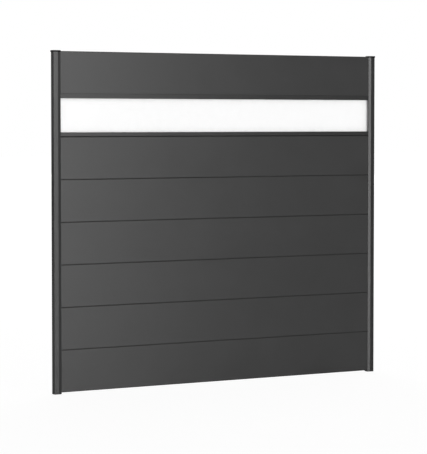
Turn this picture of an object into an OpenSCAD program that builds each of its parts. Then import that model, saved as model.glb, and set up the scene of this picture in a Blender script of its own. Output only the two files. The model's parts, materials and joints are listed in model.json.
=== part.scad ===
// Metal privacy screen: one bay of hollow aluminium boards stacked between two slotted posts,
// with a strip window under the top board.
// The left post's foot stands on the origin, at the middle of the web behind its slot.
// X runs along the screen to the right post, -Y is the front and Z is up.

/* [Screen] */
// Clear width between the flanges of the two posts
bay_w = 1742; // [600:1:2400]
// Number of plain boards under the window
lower_boards = 6; // [1:1:9]
// Gap under the lowest board
ground_gap = 7; // [6:0.5:60]

/* [Board] */
// Height that one board adds to the stack
board_h = 200; // [120:1:300]
// Thickness of a board, front to back
board_t = 20; // [18:0.5:32]
// Wall of the board extrusion
board_wall = 1.3; // [0.8:0.1:2]
// Thickness of the webs inside a board
web_t = 1.1; // [0.8:0.1:2]
// Number of webs inside a board
web_n = 3; // [0:1:6]
// Bevel along the long edges of a board, two of which make the groove between boards
bevel = 2.5; // [0.5:0.1:3]

/* [Tongue and groove] */
// Height of the tongue
tongue_h = 8; // [5:0.5:10]
// Width of the tongue, front to back
tongue_w = 8; // [6:0.5:9]
// Bevel on the tongue's tip
tongue_bevel = 1.2; // [0.3:0.1:1.5]
// Clearance of the tongue in the groove, on each side
tongue_side_gap = 0.3; // [0.15:0.05:0.6]
// Clearance over the tongue's tip
tongue_tip_gap = 0.6; // [0.3:0.1:1.5]

/* [Window] */
// Depth of the channel in each rail that takes the pane's edge
channel_d = 10; // [8:0.5:20]
// Thickness of the rail's lips beside that channel
lip_t = 2.4; // [1.6:0.1:3]
// Floor between the lower rail's groove and its channel
rail_floor = 2.4; // [1.4:0.1:12]
// Height of the hollow part of the upper rail, over its channel
rail_head = 10; // [6:0.5:24]
// Bevel along the bottom edges of the lower rail
rail_bevel = 3.2; // [0.5:0.1:3.4]
// Opening of the joint between the upper rail and the top board
hairline = 1.1; // [0.3:0.1:3]
// Thickness of the pane
pane_t = 8; // [4:1:10]
// Rubber between the pane's edge and what holds it
gasket_floor = 2; // [1:0.5:3]
// How far the gaskets stay behind the lips that cover them
gasket_inset = 1; // [0.2:0.1:2]
// Clearance of a gasket in its channel, on each side
gasket_gap = 0.1; // [0.05:0.05:0.3]
// How far the pane's side seals stay behind the slot's mouth
seal_inset = 5; // [2:0.5:6]
// Depth of the relief grooves in the faces of the side seals
seal_relief = 2; // [0.5:0.1:3]

/* [Post] */
// Wall of the post extrusion
post_wall = 2.2; // [1.6:0.1:3]
// Width of the chamber behind the slot, along the screen
chamber_w = 10.3; // [8.5:0.1:30]
// Width of the slanted band beside the boards
slant_w = 14.7; // [6:0.1:24]
// Fall of the slanted band towards the boards
slant_fall = 2; // [0.5:0.1:3]
// Thickness of the flanges at the slot's mouth
flange_tip = 2.25; // [2:0.05:3]
// Depth of the slot that takes the boards
slot_d = 22; // [20:0.5:26]
// Length of the guide lip at the slot's mouth
lip_guide = 7; // [3:0.5:8]
// Length of the guide rib at the slot's root
root_guide = 6; // [5:0.5:9]
// Clearance between a board's face and the slot
slot_gap = 0.25; // [0.15:0.05:0.8]
// Clearance between a board's end and the slot's root
end_gap = 3; // [1:0.5:4]
// Rounding of the post's outer corners
post_round = 1; // [0.3:0.1:2]
// Height of the posts over the top board
post_over = 0.5; // [0.3:0.1:40]

/* [Screw ports] */
// Bore of the screw ports in the post's chamber
port_d = 4.2; // [3:0.1:4.6]
// Outside of a screw port
port_out = 7.4; // [6.4:0.1:8]
// Depth of a port's axis behind the inside of the front or rear wall
port_inset = 3.4; // [2.6:0.1:4]

/* [Cap] */
// Thickness of the cap's plate
cap_t = 3; // [2:0.5:6]
// Bevel round the cap's top edge
cap_bevel = 0.8; // [0.3:0.1:1.5]
// Depth of the cap's rim below the top of the post
cap_rim = 5; // [1:0.5:8]
// Wall of the cap's rim and plug
rim_t = 2; // [1:0.1:2.5]
// Clearance between the rim and the post
rim_gap = 0.2; // [0.1:0.05:0.5]
// Length of the plug that holds the cap in the post's chamber
plug_l = 16; // [8:1:30]
// Clearance of the plug on each side, in the chamber and between the screw ports
plug_gap = 0.1; // [0.05:0.05:0.3]

/* [Board rests] */
// Clearance round a rest in the slot
rest_gap = 0.25; // [0.15:0.05:0.8]
// Height of the rib that keeps the lowest board on its rest
rest_rib = 4; // [2:0.5:5]

/* [Hidden] */
function board_names() = [for (i = [1:lower_boards]) str("board_", i)];

// A cut runs this far past the face that it opens.
past = 1;
$fn = 48;

// Posts: the section's own X starts at the outer face.
post_w = 2 * post_wall + chamber_w + slot_d;
flat_w = post_w - slant_w;
slot_w = board_t + 2 * slot_gap;
post_depth = slot_w + 2 * (flange_tip + slant_fall);
chamber_end = post_wall + chamber_w;
slot_root = chamber_end + post_wall;
chamber_half = post_depth / 2 - post_wall;
port_x = (post_wall + chamber_end) / 2;
port_y = chamber_half - port_inset;

// Along the screen
origin_x = slot_root - post_wall / 2;
bay_start = post_w - origin_x;
bay_mid = bay_start + bay_w / 2;
board_l = bay_w + 2 * (slot_d - end_gap);
board_start = bay_start - slot_d + end_gap;

// Up the screen
window_z = ground_gap + lower_boards * board_h;
top_board_z = window_z + board_h;
post_h = top_board_z + board_h + post_over;

// Window
groove_w = tongue_w + 2 * tongue_side_gap;
groove_d = tongue_h + tongue_tip_gap;
bottom_rail_h = groove_d + rail_floor + channel_d;
top_rail_h = channel_d + rail_head;
channel_w = board_t - 2 * lip_t;
top_rail_z = window_z + board_h - top_rail_h;
pane_low = window_z + bottom_rail_h - channel_d + gasket_floor;
pane_high = top_rail_z + channel_d - gasket_floor;
pane_l = board_l - 2 * gasket_floor;
seal_l = slot_d - end_gap - seal_inset;
ridge_h = max(0.1, bevel - hairline);

// Leg of a 45 degree bevel after its outline has shrunk by a wall
function inner_leg(leg, wall) = max(0.2, leg - wall * (2 - sqrt(2)));

// Stretches of an upright section's rear half, from its foot to its head, shrunk by a wall
function foot_half(leg, wall) = [
    [board_t / 2 - wall - inner_leg(leg, wall), wall],
    [board_t / 2 - wall, wall + inner_leg(leg, wall)]
];
function head_half(h, leg, wall) = [
    [board_t / 2 - wall, h - wall - inner_leg(leg, wall)],
    [board_t / 2 - wall - inner_leg(leg, wall), h - wall]
];
function tongue_half(h, wall) = [
    [tongue_w / 2 - wall, h - wall],
    [tongue_w / 2 - wall, h + tongue_h - wall - inner_leg(tongue_bevel, wall)],
    [tongue_w / 2 - wall - inner_leg(tongue_bevel, wall), h + tongue_h - wall]
];

// The points of a list in turn from its last to its first
function backwards(points) = [for (i = [len(points) - 1:-1:0]) points[i]];

// Closed outline with the same half on both sides of the upright axis, or of the level one
module alike_sides(half) {
    polygon(concat(half, [for (p = backwards(half)) [-p[0], p[1]]]));
}
module alike_front_and_back(half) {
    polygon(concat(half, [for (p = backwards(half)) [p[0], -p[1]]]));
}

// Outline of a board, shrunk by a wall. The tongue is left off the top board.
module board_outline(wall, tongue) {
    head = tongue ? tongue_half(board_h, wall) : [];
    alike_sides(concat(foot_half(bevel, wall), head_half(board_h, bevel, wall), head));
}

// The groove that takes the tongue of the piece below, grown by a wall
module groove(wall) {
    translate([-groove_w / 2 - wall, -past]) square([groove_w + 2 * wall, groove_d + wall + past]);
}

// Level webs between the groove and the top of a board
module webs() {
    low = groove_d + board_wall;
    pitch = (board_h - board_wall - low) / (web_n + 1);
    if (web_n > 0) {
        for (i = [1:web_n]) {
            translate([-board_t / 2, low + i * pitch - web_t / 2]) square([board_t, web_t]);
        }
    }
}

// Section of a hollow board, with a groove below and a tongue above
module board_section(tongue) {
    difference() {
        board_outline(0, tongue);
        difference() {
            board_outline(board_wall, tongue);
            groove(board_wall);
            webs();
        }
        groove(0);
    }
}

// The channel that takes the pane's edge and opens away from height z
module channel(z) {
    translate([-channel_w / 2, z]) square([channel_w, channel_d + past]);
}

// Section of the lower rail: a groove below, hollow beside it, and the channel above
module bottom_rail_section() {
    hollow_top = groove_d + rail_floor - board_wall;
    difference() {
        alike_sides(concat(foot_half(rail_bevel, 0), [[board_t / 2, bottom_rail_h]]));
        difference() {
            alike_sides(concat(foot_half(rail_bevel, board_wall), [[board_t / 2 - board_wall, hollow_top]]));
            groove(board_wall);
        }
        groove(0);
        channel(bottom_rail_h - channel_d);
    }
}

// Section of the upper rail: the channel below, a chamber, and a tongue above between the ridges
// that close most of the top board's bevels
module top_rail_section() {
    difference() {
        alike_sides(concat(
            [[board_t / 2, 0], [board_t / 2, top_rail_h + ridge_h], [board_t / 2 - ridge_h, top_rail_h]],
            tongue_half(top_rail_h, 0)
        ));
        alike_sides(concat(
            [[board_t / 2 - board_wall, channel_d + board_wall]],
            [[board_t / 2 - board_wall, top_rail_h - board_wall]],
            tongue_half(top_rail_h, board_wall)
        ));
        translate([0, channel_d]) mirror([0, 1]) channel(0);
    }
}

// A section drawn in Y and Z, run along X
module run(length) {
    rotate([90, 0, 90]) linear_extrude(length) children();
}

module board(z, tongue) {
    color("#46484b") translate([board_start, 0, z]) run(board_l) board_section(tongue);
}

// The boards under the window count down from it.
module lower_board(i) {
    board(window_z - i * board_h, true);
}

module top_board() {
    board(top_board_z, false);
}

module window_bottom_rail() {
    color("#434548") translate([board_start, 0, window_z]) run(board_l) bottom_rail_section();
}

module window_top_rail() {
    color("#434548") translate([board_start, 0, top_rail_z]) run(board_l) top_rail_section();
}

module window_pane() {
    color("#f4f6f6") {
        translate([board_start + gasket_floor, -pane_t / 2, pane_low]) cube([pane_l, pane_t, pane_high - pane_low]);
    }
}

// Section of the rubber channel round the pane's long edges, from its floor up
module gasket_section() {
    outer_w = channel_w - 2 * gasket_gap;
    difference() {
        translate([-outer_w / 2, 0]) square([outer_w, channel_d - gasket_inset]);
        translate([-pane_t / 2, gasket_floor]) square([pane_t, channel_d]);
    }
}

module pane_bottom_gasket() {
    color("#1d1e20") {
        translate([board_start, 0, window_z + bottom_rail_h - channel_d]) run(board_l) gasket_section();
    }
}

module pane_top_gasket() {
    color("#1d1e20") {
        translate([board_start, 0, top_rail_z + channel_d]) mirror([0, 0, 1]) run(board_l) gasket_section();
    }
}

// Plan of the seal round the pane's end, from the end of the boards inwards
module seal_section() {
    relief_l = seal_l / 5;
    difference() {
        translate([0, -board_t / 2]) square([seal_l, board_t]);
        translate([gasket_floor, -pane_t / 2]) square([seal_l, pane_t]);
        for (side = [-1, 1]) {
            for (i = [1, 3]) {
                translate([i * relief_l, side * board_t / 2 - seal_relief]) square([relief_l, 2 * seal_relief]);
            }
        }
    }
}

module pane_seal() {
    low = window_z + bottom_rail_h;
    color("#1d1e20") translate([board_start, 0, low]) linear_extrude(top_rail_z - low) seal_section();
}

// Outline of the post's plan: flat bands front and back that fall away to the slot's mouth
module post_outline() {
    difference() {
        alike_front_and_back([
            [0, post_depth / 2],
            [flat_w, post_depth / 2],
            [post_w, post_depth / 2 - slant_fall]
        ]);
        for (side = [0, 1]) {
            mirror([0, side]) corner_cut();
        }
    }
}

// What a rounding takes off the rear outer corner
module corner_cut() {
    translate([post_round, post_depth / 2 - post_round]) {
        difference() {
            translate([-post_round - past, 0]) square(post_round + past);
            circle(post_round);
        }
    }
}

// The slot: guide ribs at its root and lips at its mouth, with a relief of even wall between them
module slot() {
    root = slot_root + root_guide;
    mouth = post_w - lip_guide;
    bend = min(max(flat_w, root + past), mouth - past);
    fall_at_bend = slant_fall * max(0, bend - flat_w) / slant_w;
    fall_at_mouth = slant_fall * (mouth - flat_w) / slant_w;
    translate([slot_root, -slot_w / 2]) square([slot_d + past, slot_w]);
    alike_front_and_back([
        [root, chamber_half],
        [bend, chamber_half - fall_at_bend],
        [mouth, chamber_half - fall_at_mouth]
    ]);
}

// A round screw port on a neck from the front or rear wall of the chamber
module port_boss() {
    translate([port_x, port_y]) circle(d = port_out);
    translate([port_x - port_d / 2, port_y]) square([port_d, port_inset + post_wall / 2]);
}

// Chamber of the post, with a screw port at its front and at its rear
module chamber() {
    difference() {
        translate([post_wall, -chamber_half]) square([chamber_end - post_wall, 2 * chamber_half]);
        port_boss();
        mirror([0, 1]) port_boss();
    }
}

module post_section() {
    difference() {
        post_outline();
        slot();
        chamber();
        for (side = [-1, 1]) {
            translate([port_x, side * port_y]) circle(d = port_d);
        }
    }
}

module post() {
    color("#484a4d") translate([-origin_x, 0, 0]) linear_extrude(post_h) post_section();
}

// Plan of the cap, grown past the post on all sides but the one where the boards enter
module cap_outline(grow) {
    corner = post_round / 2 + grow * (2 - sqrt(2));
    alike_front_and_back([
        [-grow, post_depth / 2 + grow - corner],
        [corner - grow, post_depth / 2 + grow],
        [flat_w, post_depth / 2 + grow],
        [post_w, post_depth / 2 - slant_fall + grow]
    ]);
}

// Hollow plug that holds the cap in the post's chamber, between the screw ports
module cap_plug() {
    plug_w = chamber_end - post_wall - 2 * plug_gap;
    plug_half = port_y - port_out / 2 - plug_gap;
    translate([post_wall + plug_gap, -plug_half, -plug_l]) {
        difference() {
            cube([plug_w, 2 * plug_half, plug_l + past]);
            translate([rim_t, rim_t, -past]) cube([plug_w - 2 * rim_t, 2 * (plug_half - rim_t), plug_l + past]);
        }
    }
}

module post_cap() {
    grow = rim_gap + rim_t;
    color("#17181a") translate([-origin_x, 0, post_h]) {
        hull() {
            linear_extrude(cap_t - cap_bevel) cap_outline(grow);
            linear_extrude(cap_t) cap_outline(grow - cap_bevel);
        }
        difference() {
            translate([0, 0, -cap_rim]) linear_extrude(cap_rim) cap_outline(grow);
            translate([0, 0, -cap_rim - past]) linear_extrude(cap_rim + past) cap_outline(rim_gap);
            translate([post_w - past / 2, -slot_w, -cap_rim - past]) cube([past, 2 * slot_w, cap_rim + past]);
        }
        cap_plug();
    }
}

// Block in the slot's foot that the lowest board stands on, with a rib in the board's groove
module board_rest() {
    rest_l = slot_d - 2 * rest_gap - gasket_inset;
    rib_l = slot_d - end_gap - gasket_inset - rest_gap;
    rib_w = groove_w - 2 * tongue_side_gap;
    color("#17181a") {
        translate([slot_root + rest_gap - origin_x, -slot_w / 2 + rest_gap, 0]) {
            cube([rest_l, slot_w - 2 * rest_gap, ground_gap]);
        }
        translate([board_start, -rib_w / 2, 0]) cube([rib_l, rib_w, ground_gap + rest_rib]);
    }
}

// Swaps the left end of the screen for the right one
module right_end() {
    translate([2 * bay_mid, 0, 0]) mirror([1, 0, 0]) children();
}

post();  // left_post
right_end() post();  // right_post
post_cap();  // left_post_cap
right_end() post_cap();  // right_post_cap
top_board();
window_top_rail();
window_pane();
window_bottom_rail();
pane_top_gasket();
pane_bottom_gasket();
pane_seal();  // pane_left_seal
right_end() pane_seal();  // pane_right_seal
for (i = [1:lower_boards]) {
    lower_board(i);
}
board_rest();  // left_board_rest
right_end() board_rest();  // right_board_rest
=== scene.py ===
import json
import math

import bpy
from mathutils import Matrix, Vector


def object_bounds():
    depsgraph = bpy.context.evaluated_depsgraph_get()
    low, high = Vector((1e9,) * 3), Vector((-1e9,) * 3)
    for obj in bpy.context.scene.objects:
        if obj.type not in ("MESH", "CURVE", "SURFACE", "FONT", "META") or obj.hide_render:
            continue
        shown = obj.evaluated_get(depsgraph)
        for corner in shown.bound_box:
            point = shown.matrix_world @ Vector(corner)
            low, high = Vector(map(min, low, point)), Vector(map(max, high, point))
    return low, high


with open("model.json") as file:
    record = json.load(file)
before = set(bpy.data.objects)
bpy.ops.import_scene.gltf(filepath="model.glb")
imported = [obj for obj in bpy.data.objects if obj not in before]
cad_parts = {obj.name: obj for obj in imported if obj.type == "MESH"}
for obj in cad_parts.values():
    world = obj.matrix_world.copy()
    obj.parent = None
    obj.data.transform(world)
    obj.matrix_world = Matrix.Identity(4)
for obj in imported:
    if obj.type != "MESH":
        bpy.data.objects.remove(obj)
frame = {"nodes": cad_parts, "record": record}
cad_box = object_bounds()

# Camera: where the eye is, what it looks at, and its lens, in metres and millimetres
EYE = Vector((-4.332, -8.795, 1.280))
AIM = Vector((0.858, 0.0, 0.764))
LENS_MM = 166.0
SENSOR_MM = 36.0

# Studio light: how bright the dim room and the face of each soft light are, where white is 1
WHITE = 1.0
ROOM_LIGHT = 0.07
KEY_LIGHT = 2.65
FILL_LIGHT = 0.47
SIDE_LIGHT = 0.18
REAR_LIGHT = 2.0
BACK_LIGHT = 1.3
# The big soft lights stand this far off, in metres, so that each shines evenly over the whole screen.
FAR = 40.0

# How far the floor runs each way, in metres
FLOOR_REACH = 60.0
# The floor under the screen shines a little less than white, so that the shadow on it is kept.
# It rises to white between these two distances from the screen, in metres.
SHADE_OF_WHITE = 0.94
WHITENS_FROM, WHITENS_TO = 3.0, 9.0
# Reflections show the floor as backdrop from between these two distances on, in metres.
BACKDROP_FROM, BACKDROP_TO = 5.0, 12.0
# Cosines of the angles off the backdrop's middle at which it has faded away, and at which it is full
BACKDROP_EDGE, BACKDROP_FULL = 0.75, 0.92

# Share of the light through the pane that its opal film scatters
OPAL = 0.85

# Roughness of the powder coats: the posts are a little glossier than the boards and rails.
BOARD_ROUGHNESS = 0.24
POST_ROUGHNESS = 0.185

# Which axis an extrusion's length runs along: boards and rails lie along X, and posts stand along Z.
ALONG_X, ALONG_Z = 0, 2


def colour(code):
    """The linear colour of an sRGB hex code."""
    parts = [int(code[i : i + 2], 16) / 255 for i in (1, 3, 5)]
    return [p / 12.92 if p <= 0.04045 else ((p + 0.055) / 1.055) ** 2.4 for p in parts] + [1.0]


def per_metre(size_mm):
    """Scale of a pattern whose features are that many millimetres across."""
    return 1000 / size_mm


def depth(size_mm):
    """Depth of a relief in metres, which bumps are given in."""
    return size_mm / 1000


def add(tree, kind, inputs=None, **settings):
    """Adds a node. Settings are its own fields; inputs are values, or the nodes or sockets that feed it."""
    node = tree.nodes.new("ShaderNode" + kind)
    for name, value in settings.items():
        setattr(node, name, value)
    for name, value in (inputs or {}).items():
        if isinstance(value, bpy.types.Node):
            value = next(s for s in value.outputs if s.enabled)
        if isinstance(value, bpy.types.NodeSocket):
            tree.links.new(value, node.inputs[name])
        else:
            node.inputs[name].default_value = value
    return node


def new_material(name):
    """An empty node material and its tree."""
    material = bpy.data.materials.new(name)
    material.use_nodes = True
    material.node_tree.nodes.clear()
    return material, material.node_tree


def satin_powder_coat(name, dark, light, roughness, length_axis):
    """Polyester powder coat, sprayed and baked on extruded aluminium: a satin film that keeps a faint
    orange peel, follows the extrusion's die lines and is a shade uneven from batch to batch."""
    material, tree = new_material(name)
    place = add(tree, "TexCoord").outputs["Object"]
    batch = add(tree, "ObjectInfo").outputs["Random"]

    # Cloudiness of the film, over about a hand's width
    cloud = add(tree, "TexNoise", {"Vector": place, "Scale": per_metre(140), "Detail": 3.0})
    # Orange peel. The real one is near 1 mm across and is drawn at 5 mm, so that it shows.
    peel = add(tree, "TexNoise", {"Vector": place, "Scale": per_metre(5), "Detail": 2.0})
    # Die lines run the length of the extrusion and are 3 mm apart or more.
    stretch = [per_metre(3)] * 3
    stretch[length_axis] = 0.6
    along = add(tree, "Mapping", {"Vector": place, "Scale": stretch})
    lines = add(tree, "TexNoise", {"Vector": along, "Scale": 1.0, "Detail": 2.0})
    # Fine dark and light grains of pigment, drawn at 2.5 mm
    grain = add(tree, "TexNoise", {"Vector": place, "Scale": per_metre(2.5), "Detail": 0.0})

    tone = add(tree, "Math", {0: cloud, 1: 0.5, 2: 0.2}, operation="MULTIPLY_ADD")
    tone = add(tree, "Math", {0: batch, 1: 0.08, 2: tone}, operation="MULTIPLY_ADD")
    tone = add(tree, "Math", {0: grain, 1: 0.4, 2: tone}, operation="MULTIPLY_ADD")
    paint = add(tree, "Mix", {0: tone, 6: colour(dark), 7: colour(light)}, data_type="RGBA")
    gloss = add(tree, "MapRange", {0: cloud, "To Min": roughness - 0.04, "To Max": roughness + 0.02})
    gloss = add(tree, "Math", {0: lines, 1: 0.03, 2: gloss}, operation="MULTIPLY_ADD")
    height = add(tree, "Math", {0: lines, 1: 0.4, 2: peel}, operation="MULTIPLY_ADD")
    bump = add(tree, "Bump", {"Height": height, "Strength": 0.8, "Distance": depth(0.06)})
    shader = add(
        tree,
        "BsdfPrincipled",
        {"Base Color": paint, "Roughness": gloss, "IOR": 1.7, "Normal": bump},
    )
    add(tree, "OutputMaterial", {"Surface": shader})
    return material


def satin_glass():
    """Safety glass with an opal film on its back: milky white in daylight, and what stands close behind
    it shows through as a soft grey."""
    material, tree = new_material("satin_glass")
    place = add(tree, "TexCoord").outputs["Object"]
    mottle = add(tree, "TexNoise", {"Vector": place, "Scale": per_metre(30), "Detail": 2.0})
    etch = add(tree, "TexNoise", {"Vector": place, "Scale": per_metre(3), "Detail": 1.0})
    across = add(tree, "SeparateXYZ", {"Vector": place}).outputs["Y"]
    film = add(tree, "Math", {0: across, 1: 0.0}, operation="GREATER_THAN")
    gloss = add(tree, "MapRange", {0: film, "To Min": 0.12, "To Max": 0.33})
    gloss = add(tree, "Math", {0: mottle, 1: 0.06, 2: gloss}, operation="MULTIPLY_ADD")
    tint = add(tree, "Mix", {0: mottle, 6: colour("#e3e3e3"), 7: colour("#e9e9e9")}, data_type="RGBA")
    bump = add(tree, "Bump", {"Height": etch, "Strength": 0.3, "Distance": depth(0.03)})
    clear = add(
        tree,
        "BsdfPrincipled",
        {"Base Color": tint, "Roughness": gloss, "IOR": 1.35, "Transmission Weight": 1.0, "Normal": bump},
    )
    opal = add(tree, "BsdfTranslucent", {"Color": tint})
    share = add(tree, "Math", {0: film, 1: OPAL}, operation="MULTIPLY")
    passed = add(tree, "MixShader", {0: share, 1: clear, 2: opal})
    # The milky faces throw a little light straight back.
    thrown_back = add(tree, "BsdfDiffuse", {"Color": colour("#767676")})
    milky = add(tree, "AddShader", {0: passed, 1: thrown_back})
    add(tree, "OutputMaterial", {"Surface": milky})
    return material


def extruded_rubber():
    """EPDM rubber, extruded: matt black with a greyish bloom and faint draw lines."""
    material, tree = new_material("extruded_rubber")
    place = add(tree, "TexCoord").outputs["Object"]
    bloom = add(tree, "TexNoise", {"Vector": place, "Scale": per_metre(25), "Detail": 4.0})
    grain = add(tree, "TexNoise", {"Vector": place, "Scale": per_metre(1.5), "Detail": 1.0})
    tint = add(tree, "Mix", {0: bloom, 6: colour("#151617"), 7: colour("#212223")}, data_type="RGBA")
    gloss = add(tree, "MapRange", {0: bloom, "To Min": 0.55, "To Max": 0.75})
    bump = add(tree, "Bump", {"Height": grain, "Strength": 0.5, "Distance": depth(0.1)})
    shader = add(tree, "BsdfPrincipled", {"Base Color": tint, "Roughness": gloss, "Normal": bump})
    add(tree, "OutputMaterial", {"Surface": shader})
    return material


def moulded_plastic():
    """Polyamide, injection moulded in a finely spark-eroded tool: near black, with a low even gloss."""
    material, tree = new_material("moulded_plastic")
    place = add(tree, "TexCoord").outputs["Object"]
    flow = add(tree, "TexNoise", {"Vector": place, "Scale": per_metre(18), "Detail": 2.0})
    spark = add(tree, "TexNoise", {"Vector": place, "Scale": per_metre(1.2), "Detail": 1.0})
    tint = add(tree, "Mix", {0: flow, 6: colour("#060607"), 7: colour("#0c0c0d")}, data_type="RGBA")
    gloss = add(tree, "MapRange", {0: flow, "To Min": 0.2, "To Max": 0.26})
    bump = add(tree, "Bump", {"Height": spark, "Strength": 0.4, "Distance": depth(0.04)})
    shader = add(
        tree,
        "BsdfPrincipled",
        {"Base Color": tint, "Roughness": gloss, "IOR": 1.35, "Normal": bump},
    )
    add(tree, "OutputMaterial", {"Surface": shader})
    return material


def rise(tree, value, start, end, low=0.0):
    """Rises smoothly from low to 1 while the value goes from start to end."""
    limits = {0: value, "From Min": start, "From Max": end, "To Min": low}
    return add(tree, "MapRange", limits, interpolation_type="SMOOTHSTEP")


def seen_white(tree, backdrop):
    """1 for the rays that are to see the white background: the camera's, those through the pane, and
    reflected ones where backdrop is 1."""
    path = add(tree, "LightPath")
    reflected = add(tree, "Math", {0: path.outputs["Is Glossy Ray"], 1: backdrop}, operation="MULTIPLY")
    straight = {0: path.outputs["Is Camera Ray"], 1: path.outputs["Is Transmission Ray"]}
    straight = add(tree, "Math", straight, operation="MAXIMUM")
    return add(tree, "Math", {0: straight, 1: reflected}, operation="MAXIMUM")


def towards(tree, direction, backdrop_side):
    """1 in the directions where the backdrop stands, and 0 well away from them."""
    ahead = add(tree, "VectorMath", {0: direction, 1: backdrop_side}, operation="DOT_PRODUCT")
    return rise(tree, ahead, BACKDROP_EDGE, BACKDROP_FULL)


def studio_world(backdrop_side):
    """A dim room, with a white backdrop behind the object."""
    world = bpy.data.worlds.new("studio_room")
    bpy.context.scene.world = world
    world.use_nodes = True
    tree = world.node_tree
    tree.nodes.clear()
    ray = add(tree, "TexCoord").outputs["Generated"]
    white = seen_white(tree, towards(tree, ray, backdrop_side))
    strength = add(tree, "MapRange", {0: white, "To Min": ROOM_LIGHT, "To Max": WHITE})
    light = add(tree, "Background", {"Color": (1.0, 1.0, 1.0, 1.0), "Strength": strength})
    add(tree, "OutputWorld", {"Surface": light})


def studio_floor(middle, backdrop_side):
    """A plain pale floor, level with the posts' feet, that runs out to the white of the backdrop."""
    mesh = bpy.data.meshes.new("studio_floor")
    sides = ((-1, -1), (1, -1), (1, 1), (-1, 1))
    corners = [(x * FLOOR_REACH, y * FLOOR_REACH, 0.0) for x, y in sides]
    mesh.from_pydata(corners, [], [(0, 1, 2, 3)])
    floor = bpy.data.objects.new("studio_floor", mesh)
    bpy.context.scene.collection.objects.link(floor)

    material, tree = new_material("studio_floor")
    place = add(tree, "NewGeometry").outputs["Position"]
    away = add(tree, "VectorMath", {0: place, 1: middle}, operation="SUBTRACT")
    distance = add(tree, "VectorMath", {0: away}, operation="LENGTH")
    bearing = add(tree, "VectorMath", {0: away}, operation="NORMALIZE")
    glow = rise(tree, distance, WHITENS_FROM, WHITENS_TO, low=SHADE_OF_WHITE)
    far = rise(tree, distance, BACKDROP_FROM, BACKDROP_TO)
    backdrop = add(tree, "Math", {0: far, 1: towards(tree, bearing, backdrop_side)}, operation="MULTIPLY")
    lit = add(tree, "BsdfPrincipled", {"Base Color": colour("#dcdcdc"), "Roughness": 0.07, "IOR": 2.1})
    kept_shadow = add(tree, "BsdfDiffuse", {"Color": colour("#8a8a8a")})
    shine = add(tree, "Emission", {"Strength": glow})
    seen = add(tree, "AddShader", {0: kept_shadow, 1: shine})
    mixed = add(tree, "MixShader", {0: seen_white(tree, backdrop), 1: lit, 2: seen})
    add(tree, "OutputMaterial", {"Surface": mixed})
    mesh.materials.append(material)


def soft_light(name, azimuth, elevation, distance, width, height, radiance, target):
    """A square soft light, radiance being how bright its face is, aimed at the object from that side."""
    a, e = math.radians(azimuth), math.radians(elevation)
    out = Vector((math.sin(a) * math.cos(e), -math.cos(a) * math.cos(e), math.sin(e)))
    data = bpy.data.lights.new(name, "AREA")
    data.shape = "RECTANGLE"
    data.size, data.size_y = width, height
    data.energy = radiance * math.pi * width * height
    light = bpy.data.objects.new(name, data)
    bpy.context.scene.collection.objects.link(light)
    light.location = target + out * distance
    light.rotation_euler = (-out).to_track_quat("-Z", "Y").to_euler()
    light.visible_camera = False
    light.visible_transmission = False


def make_camera():
    data = bpy.data.cameras.new("camera")
    data.sensor_width = SENSOR_MM
    data.lens = LENS_MM
    data.clip_end = 200.0
    camera = bpy.data.objects.new("camera", data)
    bpy.context.scene.collection.objects.link(camera)
    camera.location = EYE
    camera.rotation_euler = (AIM - EYE).to_track_quat("-Z", "Y").to_euler()
    bpy.context.scene.camera = camera


def finish_nodes():
    """Gives each CAD node the finish that its slot in the record asks for."""
    board_coat = satin_powder_coat("powder_coat_on_boards", "#4a4a4a", "#525252", BOARD_ROUGHNESS, ALONG_X)
    post_coat = satin_powder_coat("powder_coat_on_posts", "#3d3d3d", "#454545", POST_ROUGHNESS, ALONG_Z)
    # The rails take a darker copy of the boards' coat: painted shade on the rails' faces, not a paint of
    # their own.
    rail_coat_darkened_for_shade = satin_powder_coat("powder_coat_on_rails_painted_shade", "#3b3b3b", "#424242", BOARD_ROUGHNESS, ALONG_X)
    finishes = {
        "satin_pane": satin_glass(),
        "black_rubber": extruded_rubber(),
        "black_plastic": moulded_plastic(),
    }
    for part in frame["record"]["subparts"]:
        node = frame["nodes"][part["node"]]
        node.data.materials.clear()
        if part["material_slot"] != "powder_coat":
            finish = finishes[part["material_slot"]]
        elif "post" in part["node"]:
            finish = post_coat
        elif "rail" in part["node"]:
            finish = rail_coat_darkened_for_shade
        else:
            finish = board_coat
        node.data.materials.append(finish)


bpy.context.scene.view_settings.view_transform = "Standard"
lowest, highest = cad_box
middle = (lowest + highest) / 2
view_dir = (AIM - EYE).normalized()

make_camera()
finish_nodes()
studio_world(view_dir)
studio_floor(Vector((middle.x, middle.y, 0.0)), view_dir)
# The key light's right-hand edge is what the boards reflect at their left, and they darken past it.
soft_light("key_light", azimuth=-16.3, elevation=6.7, distance=FAR, width=75.0, height=10.5,
           radiance=KEY_LIGHT, target=middle)
# Lifts the left post's band beside the boards, which slants towards this light
soft_light("fill_light", azimuth=58, elevation=10, distance=FAR, width=28.0, height=14.5,
           radiance=FILL_LIGHT, target=middle)
# Shows the outer side of the left post
soft_light("side_light", azimuth=-154, elevation=10, distance=FAR, width=28.0, height=14.5,
           radiance=SIDE_LIGHT, target=middle)
# Lights the back as the key light does the front
soft_light("rear_light", azimuth=143, elevation=7.5, distance=FAR, width=72.0, height=10.5,
           radiance=REAR_LIGHT, target=middle)
# From above and behind, over the top of the stack and onto the floor in front
soft_light("back_light", azimuth=150, elevation=45, distance=9.0, width=6.0, height=4.0,
           radiance=BACK_LIGHT, target=middle)
